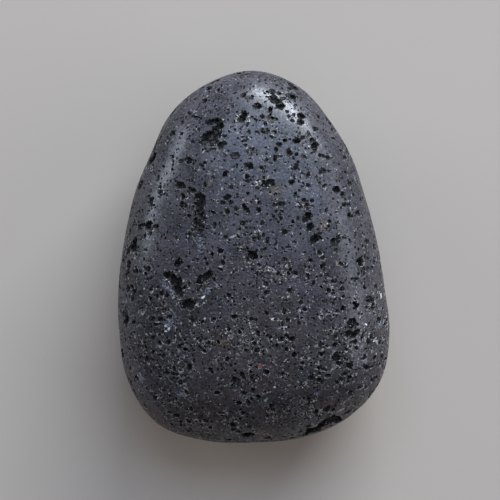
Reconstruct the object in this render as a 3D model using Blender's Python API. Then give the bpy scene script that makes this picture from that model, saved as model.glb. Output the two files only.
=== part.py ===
"""Tumbled lava stone that fits a palm: one solid of dark basalt, its gas bubbles cut open by the polish.

The stone lies on its flatter side. +Z is up, +Y points to the narrow end, and the origin is the middle of
the foot that it rests on, under the middle of its outline. Sizes are in millimetres until the last step.
"""

import math
import random

import bmesh
import bpy
from mathutils import Matrix, Vector, noise
from mathutils.bvhtree import BVHTree

MM = 0.001

HALF_LENGTH = 25.0

# Outline seen from above: its radius every 15 degrees, anticlockwise from +X, about the origin.
OUTLINE_RADII = (
    16.9, 16.5, 17.0, 18.6, 20.7, 23.5, 24.9, 24.0, 22.2, 19.5, 18.2, 17.5,
    17.7, 18.8, 20.8, 23.8, 25.9, 25.6, 25.0, 25.2, 25.1, 23.9, 21.0, 18.2,
)

# Section: a domed top and a flatter underside meet at the girdle, the widest line.
TOP_HEIGHT = 10.6
BASE_DEPTH = 9.0
TOP_SQUARENESS = 2.25  # 2 is an ellipse, and more is a flatter face with a tighter shoulder
BASE_SQUARENESS = 2.7
NARROW_END_TAPER = 0.1  # share of the height that the narrow end loses and the broad end gains
FOOT_CUT = 0.45  # how much of the underside is worn away to the flat foot
FOOT_EDGE = 0.3
GIRDLE = BASE_DEPTH - FOOT_CUT  # height of the widest line over the foot

# Unevenness left by tumbling.
SWELL = 0.35
SWELL_LENGTH = 11.0
GIRDLE_WAVE = 0.5  # rise and fall of the girdle, twice round the stone
GIRDLE_WAVE_START = 1.0  # in radians

FACE_CUTS = 12  # each side of the starting cube is divided into this many squares and one more

# Bubbles that show from a step away: x, y, length, width, turn of the length from +X, depth.
PLACED_PITS = (
    # narrow end
    (-5.5, 17.8, 2.5, 1.0, 5, 0.8),
    (-4.6, 17.2, 1.2, 1.1, 90, 0.9),
    (-5.8, 15.8, 3.1, 1.8, 48, 1.3),
    (-4.2, 14.8, 1.5, 0.9, 40, 0.7),
    (-8.5, 18.8, 1.0, 0.7, -35, 0.6),
    (-7.4, 18.2, 1.2, 0.7, -15, 0.6),
    (-1.5, 18.3, 1.8, 1.1, 75, 1.0),
    (2.4, 21.7, 1.4, 0.8, 95, 0.7),
    (3.4, 21.6, 0.8, 0.8, 0, 0.9),
    (2.9, 20.6, 1.8, 0.9, -35, 0.8),
    (3.5, 20.1, 1.1, 1.0, 0, 0.8),
    (4.8, 21.2, 1.6, 1.1, 15, 0.5),
    (6.3, 18.2, 1.9, 1.1, 80, 0.9),
    (2.3, 18.1, 1.5, 0.9, -25, 0.5),
    (2.75, 16.4, 0.8, 0.8, 0, 0.8),
    (1.4, 16.4, 1.5, 0.7, 5, 0.5),
    (5.7, 15.2, 1.1, 1.0, 0, 1.0),
    (7.1, 15.7, 1.4, 0.8, 80, 0.6),
    (8.0, 14.8, 1.8, 1.3, 70, 1.1),
    (4.6, 13.6, 1.1, 0.9, 100, 0.6),
    # left flank of the narrow end, with the notch in its outline
    (-13.1, 14.6, 1.8, 1.3, 65, 1.3),
    (-10.9, 16.3, 1.1, 0.8, 30, 0.6),
    (-8.6, 12.5, 2.0, 1.3, -10, 0.6),
    (-9.6, 9.3, 1.5, 0.9, -15, 0.6),
    (-12.7, 10.3, 1.0, 0.7, 70, 0.6),
    # upper middle
    (-3.6, 11.0, 0.9, 0.7, 0, 0.7),
    (-3.0, 9.1, 0.9, 0.9, 0, 0.8),
    (-0.7, 11.9, 1.4, 0.8, -20, 0.6),
    (1.9, 9.6, 2.1, 1.1, 0, 0.7),
    (9.1, 11.1, 1.5, 0.8, 30, 0.8),
    (7.1, 10.7, 1.1, 0.7, 75, 0.7),
    (9.2, 13.2, 1.3, 0.7, -10, 0.6),
    (10.9, 8.8, 1.2, 1.0, 30, 0.7),
    (12.7, 9.7, 1.0, 0.8, 80, 0.7),
    # groove left of the middle
    (-6.9, 7.4, 1.6, 1.3, 90, 1.2),
    (-7.1, 5.4, 2.6, 1.4, 85, 1.0),
    (-7.3, 3.3, 2.6, 1.3, 80, 0.7),
    # middle
    (-9.4, 7.7, 0.9, 0.7, 90, 0.7),
    (-2.9, 7.8, 1.2, 0.8, 20, 0.8),
    (-2.4, 6.3, 1.2, 0.9, 80, 0.8),
    (-1.0, 6.2, 2.2, 0.9, -62, 0.9),
    (3.3, 6.8, 2.1, 0.8, 12, 0.8),
    (7.0, 5.0, 1.6, 1.1, 58, 1.1),
    (7.4, 3.7, 1.4, 1.0, -10, 0.9),
    (8.0, 2.3, 1.6, 1.3, 60, 1.1),
    (10.8, 2.0, 1.9, 0.9, 55, 0.8),
    (11.7, 8.0, 1.0, 0.8, -10, 0.7),
    (-5.5, 0.3, 0.8, 0.8, 0, 0.8),
    (-0.3, 0.2, 1.6, 1.3, -40, 1.0),
    (4.0, -0.4, 1.2, 0.8, -25, 0.8),
    (-13.6, 4.1, 1.8, 1.0, -10, 0.7),
    (-16.0, 1.1, 1.8, 1.1, 100, 0.8),
    (15.9, 0.0, 1.8, 0.8, 100, 0.8),
    (13.9, -1.1, 1.6, 1.3, -60, 0.9),
    # lower left
    (-9.9, -0.9, 1.4, 0.9, 35, 0.6),
    (-11.2, -2.3, 2.2, 1.2, -15, 0.9),
    (-10.4, -3.7, 2.4, 1.9, -60, 1.4),
    (-6.3, -2.7, 2.6, 0.9, 25, 0.9),
    (-8.6, -6.4, 1.7, 1.5, 45, 1.4),
    (-17.0, -8.4, 1.4, 1.0, 55, 0.9),
    (-13.4, -8.3, 1.2, 0.8, 25, 0.8),
    (-11.7, -7.0, 1.1, 0.9, 30, 0.8),
    (-8.3, -20.3, 1.1, 0.8, 70, 0.9),
    # lower right
    (13.3, -6.5, 1.2, 1.1, 0, 0.9),
    (12.8, -8.8, 1.7, 0.8, 72, 1.0),
    (13.2, -10.3, 1.6, 1.3, 20, 1.0),
    (10.8, -13.3, 1.4, 1.0, -10, 1.0),
    (14.8, -14.7, 0.9, 0.8, 90, 0.9),
    (12.8, -14.5, 1.1, 0.7, 95, 0.7),
    (9.8, -22.0, 2.3, 1.8, 10, 1.1),
    (12.5, -21.0, 2.4, 1.1, 22, 0.9),
    (-0.7, -23.6, 2.2, 1.4, -5, 0.9),
    (8.1, -20.7, 1.1, 0.8, -10, 0.8),
    (0.6, -18.6, 1.1, 0.8, 20, 0.8),
)

# Bubbles strewn over the flanks and the underside, which the list above leaves bare.
STREWN_COUNT = 90
STREWN_SMALLEST = 1.0
STREWN_LARGEST = 2.8
STREWN_WIDTHS = (0.55, 0.95)  # shares of the length
STREWN_DEPTHS = (0.5, 0.9)  # shares of the width
STREWN_SPACING = 1.4  # between middles, as a share of the two bubbles' mean length
STREWN_SEED = 11
CLEAR_OF_MOUNT = 4.0  # radius of whole stone round the middle of the foot
LISTED_ABOVE = 3.0  # height over the girdle that the listed bubbles reach down to

# Every bubble is a barrel of flat facets, lumpy by a share of its radius.
BUBBLE_SIDES = 7
BUBBLE_RINGS = 3
LARGE_BUBBLE = 1.7  # from this length on, a bubble has half as many facets again
BUBBLE_SUNK = 0.25  # how deep its middle lies, as a share of the pit's depth
BUBBLE_GIRTH = 1.15  # its widest ring over the size of its mouth
LUMPS = 0.45
LUMP_LENGTH = 0.8  # in bubble radii

STONE_COLOUR = (0.045, 0.047, 0.055, 1.0)
STONE_ROUGHNESS = 0.42


def outline_radius(bearing):
    """Radius of the outline at a bearing in radians: a smooth closed curve through the listed radii."""
    count = len(OUTLINE_RADII)
    place = (bearing / (2 * math.pi) * count) % count
    index = int(place)
    share = place - index
    before, start, end, after = (OUTLINE_RADII[(index + k) % count] for k in (-1, 0, 1, 2))
    slope_start = (end - before) / 2
    slope_end = (after - start) / 2
    rise = end - start
    return start + share * (
        slope_start
        + share * (3 * rise - 2 * slope_start - slope_end + share * (slope_start + slope_end - 2 * rise))
    )


def smooth_max(a, b, blend):
    """The larger of two heights, rounded off where they come within blend of each other."""
    near = max(blend - abs(a - b), 0.0) / blend
    return max(a, b) + near * near * blend / 4


def stone_point(direction):
    """The surface point, in millimetres over the foot, that lies in a direction from inside the stone."""
    bearing = math.atan2(direction.y, direction.x)
    across = math.hypot(direction.x, direction.y)
    top = direction.z > 0
    squareness = TOP_SQUARENESS if top else BASE_SQUARENESS
    stretch = (across**squareness + abs(direction.z) ** squareness) ** (-1 / squareness)
    radius = outline_radius(bearing) * across * stretch
    x = radius * math.cos(bearing)
    y = radius * math.sin(bearing)
    height = (TOP_HEIGHT if top else BASE_DEPTH) * (1 - NARROW_END_TAPER * y / HALF_LENGTH)
    z = height * direction.z * stretch
    inward = 1 - (across * stretch) ** 4  # 0 on the outline, so that swells leave its radii alone
    z += SWELL * inward * noise.noise(Vector((x, y, 2 * z)) / SWELL_LENGTH)
    z += GIRDLE_WAVE * math.sin(2 * bearing + GIRDLE_WAVE_START) * (across * stretch) ** 2
    return Vector((x, y, smooth_max(z, -GIRDLE, FOOT_EDGE) + GIRDLE))


def make_body():
    """The unpitted stone, as a mesh of near-square faces."""
    mesh = bmesh.new()
    bmesh.ops.create_cube(mesh, size=2)
    bmesh.ops.subdivide_edges(mesh, edges=mesh.edges, cuts=FACE_CUTS, use_grid_fill=True)
    for vert in mesh.verts:
        evened = Vector([math.tan(c * math.pi / 4) for c in vert.co])
        vert.co = stone_point(evened.normalized())
    bmesh.ops.recalc_face_normals(mesh, faces=mesh.faces)
    return mesh


def add_bubble(cutter, point, normal, length, width, turn, depth):
    """Adds one lumpy bubble to the cutter, centred a little under the surface."""
    ahead = Vector((math.cos(math.radians(turn)), math.sin(math.radians(turn)), 0))
    across = normal.cross(ahead).normalized()
    turned = Matrix((across.cross(normal), across, normal)).transposed().to_4x4()
    sunk = Matrix.Translation(point - normal * depth * BUBBLE_SUNK)
    girth = BUBBLE_GIRTH / 2
    sized = Matrix.Diagonal((length * girth, width * girth, depth * (1 - BUBBLE_SUNK), 1))
    sides, rings = BUBBLE_SIDES, BUBBLE_RINGS
    if length >= LARGE_BUBBLE:
        sides, rings = sides + sides // 2, rings + 1
    made = bmesh.ops.create_uvsphere(cutter, u_segments=sides, v_segments=rings, radius=1)
    for vert in made["verts"]:
        side = vert.co.xy.to_3d().normalized()  # one lump down a whole side keeps its facets flat
        vert.co.xy *= 1 + LUMPS * noise.noise(side / LUMP_LENGTH + point)
        vert.co = sunk @ turned @ sized @ vert.co


def placed_bubbles(surface):
    """The listed bubbles, dropped onto the stone from above."""
    sky = 2 * (TOP_HEIGHT + BASE_DEPTH)
    for x, y, length, width, turn, depth in PLACED_PITS:
        point, normal, _, _ = surface.ray_cast(Vector((x, y, sky)), Vector((0, 0, -1)))
        yield point, normal, length, width, turn, depth


def strewn_bubbles(body):
    """Bubbles at random over the rest of the stone, clear of one another and of the mount."""
    chance = random.Random(STREWN_SEED)
    faces = [face for face in body.faces if face.calc_center_median().z < GIRDLE + LISTED_ABOVE]
    areas = [face.calc_area() for face in faces]
    taken = []
    while len(taken) < STREWN_COUNT:
        face = chance.choices(faces, weights=areas)[0]
        a, b, c, d = (vert.co for vert in face.verts)
        share = chance.random()
        point = a.lerp(b, share).lerp(d.lerp(c, share), chance.random())
        length = STREWN_SMALLEST * (STREWN_LARGEST / STREWN_SMALLEST) ** (chance.random() ** 2)
        width = length * chance.uniform(*STREWN_WIDTHS)
        if point.z < FOOT_EDGE and point.xy.length < CLEAR_OF_MOUNT:
            continue
        if any((point - other).length < STREWN_SPACING * (length + size) / 2 for other, size in taken):
            continue
        taken.append((point, length))
        depth = width * chance.uniform(*STREWN_DEPTHS)
        yield point, face.normal.copy(), length, width, chance.uniform(0, 180), depth


def add_object(name, mesh):
    data = bpy.data.meshes.new(name)
    mesh.to_mesh(data)
    mesh.free()
    obj = bpy.data.objects.new(name, data)
    bpy.context.scene.collection.objects.link(obj)
    return obj


def basalt():
    material = bpy.data.materials.new("basalt")
    material.use_nodes = True
    shader = material.node_tree.nodes["Principled BSDF"]
    shader.inputs["Base Color"].default_value = STONE_COLOUR
    shader.inputs["Roughness"].default_value = STONE_ROUGHNESS
    shader.inputs["Metallic"].default_value = 0.0
    return material


def make_stone():
    body = make_body()
    surface = BVHTree.FromBMesh(body)
    cutter = bmesh.new()
    for bubble in (*placed_bubbles(surface), *strewn_bubbles(body)):
        add_bubble(cutter, *bubble)
    for mesh in (body, cutter):
        mesh.transform(Matrix.Scale(MM, 4))

    stone = add_object("lava_stone", body)
    bubbles = add_object("bubble_cutter", cutter)
    bubbles.hide_render = True
    bubbles.display_type = "WIRE"
    pits = stone.modifiers.new("pits", "BOOLEAN")
    pits.operation = "DIFFERENCE"
    pits.object = bubbles
    pits.use_self = True
    stone.data.materials.append(basalt())
    stone.data.shade_smooth()
    stone.data.set_sharp_from_angle(angle=math.radians(35))
    return stone


for old in list(bpy.data.objects):
    bpy.data.objects.remove(old)
make_stone()
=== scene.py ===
import math
import random

import bmesh
import bpy
from mathutils import Matrix, Vector, noise
from mathutils.bvhtree import BVHTree


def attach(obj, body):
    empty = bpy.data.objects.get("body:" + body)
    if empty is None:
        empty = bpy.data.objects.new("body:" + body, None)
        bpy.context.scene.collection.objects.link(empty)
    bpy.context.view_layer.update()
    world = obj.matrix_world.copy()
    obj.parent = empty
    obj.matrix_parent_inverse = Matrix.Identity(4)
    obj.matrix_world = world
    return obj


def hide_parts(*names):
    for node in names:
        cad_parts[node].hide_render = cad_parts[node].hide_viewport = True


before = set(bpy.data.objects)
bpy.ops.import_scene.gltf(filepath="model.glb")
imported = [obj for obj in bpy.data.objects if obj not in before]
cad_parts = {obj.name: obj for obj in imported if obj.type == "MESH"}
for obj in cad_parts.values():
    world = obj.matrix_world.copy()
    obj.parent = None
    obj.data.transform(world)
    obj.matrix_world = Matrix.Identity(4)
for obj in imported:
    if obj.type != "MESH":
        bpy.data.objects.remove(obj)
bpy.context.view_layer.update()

mm = 0.001
scene = bpy.context.scene

# the stone: lengths in millimetres, as in the part
stone = {
    "halfLength": 25.0,
    # outline from above, a radius every 15 degrees anticlockwise from +X
    "outlineRadii": (
        16.9, 16.5, 17.0, 18.6, 20.7, 23.5, 24.9, 24.0, 22.2, 19.5, 18.2, 17.5,
        17.7, 18.8, 20.8, 23.8, 25.9, 25.6, 25.0, 25.2, 25.1, 23.9, 21.0, 18.2,
    ),
    "topHeight": 10.6,
    "baseDepth": 9.0,
    "topSquareness": 2.25,
    "baseSquareness": 2.7,
    "narrowEndTaper": 0.1,
    "footCut": 0.45,
    "footEdge": 0.3,
    "swell": 0.35,
    "swellLength": 11.0,
    "girdleWave": 0.5,
    "girdleWaveStart": 1.0,
    "squaresPerSide": 30,
}
girdle = stone["baseDepth"] - stone["footCut"]


def outlineRadius(bearing):
    radii = stone["outlineRadii"]
    count = len(radii)
    place = (bearing / (2 * math.pi) * count) % count
    index = int(place)
    share = place - index
    before, start, end, after = (radii[(index + k) % count] for k in (-1, 0, 1, 2))
    slopeStart = (end - before) / 2
    slopeEnd = (after - start) / 2
    rise = end - start
    bend = slopeStart + slopeEnd - 2 * rise
    return start + share * (slopeStart + share * (rise - slopeStart - bend + share * bend))


def smoothMax(a, b, blend):
    near = max(blend - abs(a - b), 0.0) / blend
    return max(a, b) + near * near * blend / 4


def stonePoint(direction):
    bearing = math.atan2(direction.y, direction.x)
    across = math.hypot(direction.x, direction.y)
    top = direction.z > 0
    squareness = stone["topSquareness"] if top else stone["baseSquareness"]
    stretch = (across**squareness + abs(direction.z) ** squareness) ** (-1 / squareness)
    radius = outlineRadius(bearing) * across * stretch
    x = radius * math.cos(bearing)
    y = radius * math.sin(bearing)
    height = stone["topHeight"] if top else stone["baseDepth"]
    z = height * (1 - stone["narrowEndTaper"] * y / stone["halfLength"]) * direction.z * stretch
    inward = 1 - (across * stretch) ** 4
    z += stone["swell"] * inward * noise.noise(Vector((x, y, 2 * z)) / stone["swellLength"])
    wave = math.sin(2 * bearing + stone["girdleWaveStart"])
    z += stone["girdleWave"] * wave * (across * stretch) ** 2
    return Vector((x, y, smoothMax(z, -girdle, stone["footEdge"]) + girdle)) * mm


def linkObject(name, data):
    obj = bpy.data.objects.new(name, data)
    scene.collection.objects.link(obj)
    return obj


def makeStoneShape(squaresPerSide):
    bm = bmesh.new()
    bmesh.ops.create_cube(bm, size=2)
    bmesh.ops.subdivide_edges(bm, edges=bm.edges, cuts=squaresPerSide - 1, use_grid_fill=True)
    for vert in bm.verts:
        evened = Vector([math.tan(c * math.pi / 4) for c in vert.co])
        vert.co = stonePoint(evened.normalized())
    bmesh.ops.recalc_face_normals(bm, faces=bm.faces)
    return bm


def makeStoneBody():
    bm = makeStoneShape(stone["squaresPerSide"])
    mesh = bpy.data.meshes.new("stone")
    bm.to_mesh(mesh)
    mesh.shade_smooth()
    surface = BVHTree.FromBMesh(bm)
    bm.free()
    return linkObject("lavaStone", mesh), surface


def topAt(surface, x, y):
    # the spot on the top of the stone over a place in millimetres, and which way it faces there
    above = Vector((x, y, 2 * stone["halfLength"])) * mm
    spot, normal, _, _ = surface.ray_cast(above, Vector((0, 0, -1)))
    return spot, normal


# bubbles: each shape is a closed bowl whose mouth, about a circle of radius 1, lies in the plane z = 0
bubbles = {
    "shapes": 8,
    "profiles": {  # radius and height of each ring, from the lid down
        "roundBowl": ((1.15, 0.3), (0.93, -0.2), (0.75, -0.65)),
        "smallBowl": ((1.2, 0.3), (0.75, -0.45)),
        "sharpBowl": ((1.35, 0.35),),
    },
    "sides": {"roundBowl": 9, "smallBowl": 6, "sharpBowl": 5},
    "bottom": -1.0,
    "lumpiness": 0.7,
    "lumpSize": 0.55,
    "lumpStart": (17.3, 5.1, 2.7),  # where the lumps are read: x steps on for each shape
    "seed": 4,
    "depths": {"deep": 0.88, "plain": 0.74, "shallow": 0.3},  # as a share of the width
    "mouthGain": 1.3,  # a lit lip hides part of the mouth
    "widthsOver": (0.7, 0.32, 0.0),  # narrowest round, small and sharp bowl
    "picks": 1000,  # the draw for which shape a ball takes
    "wallNoise": 0.09,
    "wallNoiseLength": 0.35,
    "chipFaces": 400,
}
# a long bubble is a row of balls with satellites round it: lengths in millimetres, the rest as shares
cluster = {
    "singleBelow": 0.62,  # a bubble shorter than this is one ball
    "balls": 1.3,  # for each width that it is long
    "longestBall": 1.25,  # in widths
    "ballSize": (0.75, 0.98),
    "ballDepth": (0.75, 1.0),
    "sideways": 0.12,
    "satellites": 1.5,
    "satellitesPerMm": 2.0,
    "satelliteSize": (0.3, 0.6),  # of the width
    "satelliteStretch": (0.8, 1.4),
    "satelliteDepth": 0.8,
    "satelliteInset": 0.35,
}

# bubbles that show from a step away: x, y, length, width in millimetres, and any turn from +X in degrees
deepBubbles = (
    (-14.1, 12.3, 1.7, 1.0, 70), (-15.1, 9.5, 1.4, 0.9, 65), (-13.6, 7.2, 1.3, 0.6, 110),
    (-13.9, 4.1, 1.1, 0.9), (-12.9, 3.9, 0.9, 0.6), (-15.1, 3.9, 1.0, 0.8, 40), (-15.9, 4.4, 1.0, 0.6, 80),
    (-16.5, 3.2, 1.2, 0.7, 80), (-15.9, 1.4, 1.9, 1.1, 85), (-16.7, 0.7, 1.1, 0.7, 60),
    (-16.6, -1.2, 1.3, 0.8, 80), (-16.9, -2.3, 1.0, 0.7, 90), (-15.6, -1.9, 0.9, 0.6, 45),
    (-16.7, -4.3, 1.0, 0.7, 80), (-15.9, -4.7, 1.0, 0.7, 20), (-16.1, -5.7, 0.9, 0.6, 90),
    (-7.2, 6.2, 3.2, 1.15, 88), (-7.1, 7.3, 1.3, 1.2, 90), (-7.35, 4.2, 2.6, 1.05, 92),
    (12.9, -8.9, 1.6, 1.0, 80), (13.2, -10.2, 1.4, 0.9, 40), (14.0, -0.9, 1.3, 1.0, -40),
    (15.3, -5.9, 1.6, 0.7, 10), (-5.8, 15.7, 3.0, 1.8, 52), (-4.5, 17.3, 1.0, 0.9), (-4.8, 16.6, 1.2, 1.1),
    (-1.6, 18.1, 1.3, 0.9, 60), (-1.3, 18.7, 0.9, 0.8, 100), (3.4, 21.6, 0.6, 0.6),
    (6.3, 18.6, 1.0, 0.9, 60), (6.1, 17.8, 1.0, 0.8, 80), (2.75, 16.4, 0.65, 0.65),
    (5.7, 15.2, 1.0, 0.8, 10), (8.0, 14.7, 1.1, 1.2, 70), (8.0, 15.3, 0.7, 0.5, 90),
    (-13.2, 14.6, 1.6, 1.0, 65), (9.0, 11.2, 1.2, 0.7, 35), (-6.9, 7.6, 1.3, 1.1, 80),
    (-6.9, 6.2, 1.0, 0.7, 95), (-7.0, 4.6, 0.9, 0.6, 80), (-5.5, 0.3, 0.5, 0.5), (-10.5, -3.1, 1.4, 1.0, 60),
    (-10.0, -4.4, 1.5, 1.0, 115), (-8.6, -6.3, 1.5, 1.25, 30), (7.0, 5.1, 1.4, 0.85, 60),
    (7.3, 3.8, 1.1, 0.85, 70), (8.0, 2.3, 1.3, 0.95, 60), (-0.3, 0.2, 1.4, 0.9, -40),
    (4.0, -0.4, 0.9, 0.6, -25), (13.4, -6.5, 1.1, 1.0), (12.6, -8.9, 1.3, 0.8, 75), (12.6, -10.2, 0.9, 0.9),
    (14.8, -14.8, 0.7, 0.6, 90), (12.3, -20.9, 1.4, 0.8, 20), (-17.0, -8.4, 1.4, 1.2, 90),
    (-9.7, -16.6, 0.9, 0.6, 90), (-8.3, -20.2, 0.8, 0.6, 90), (10.85, -13.4, 1.3, 0.9),
    (-1.3, -18.0, 1.0, 0.6), (0.6, -18.6, 0.8, 0.7), (10.1, -21.9, 2.3, 1.5, 20), (-0.9, -23.8, 1.8, 1.0),
    (-11.4, -2.5, 1.4, 0.7, -20), (-1.1, 6.2, 1.6, 0.7, -60), (0.6, 6.0, 0.6, 0.6),
    (-1.5, 4.3, 0.7, 0.6, 30), (-9.9, -3.4, 1.3, 0.9, 80), (-13.4, -8.3, 1.1, 0.7, 20),
    (-11.8, -7.1, 0.8, 0.5, 50),
)
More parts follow.
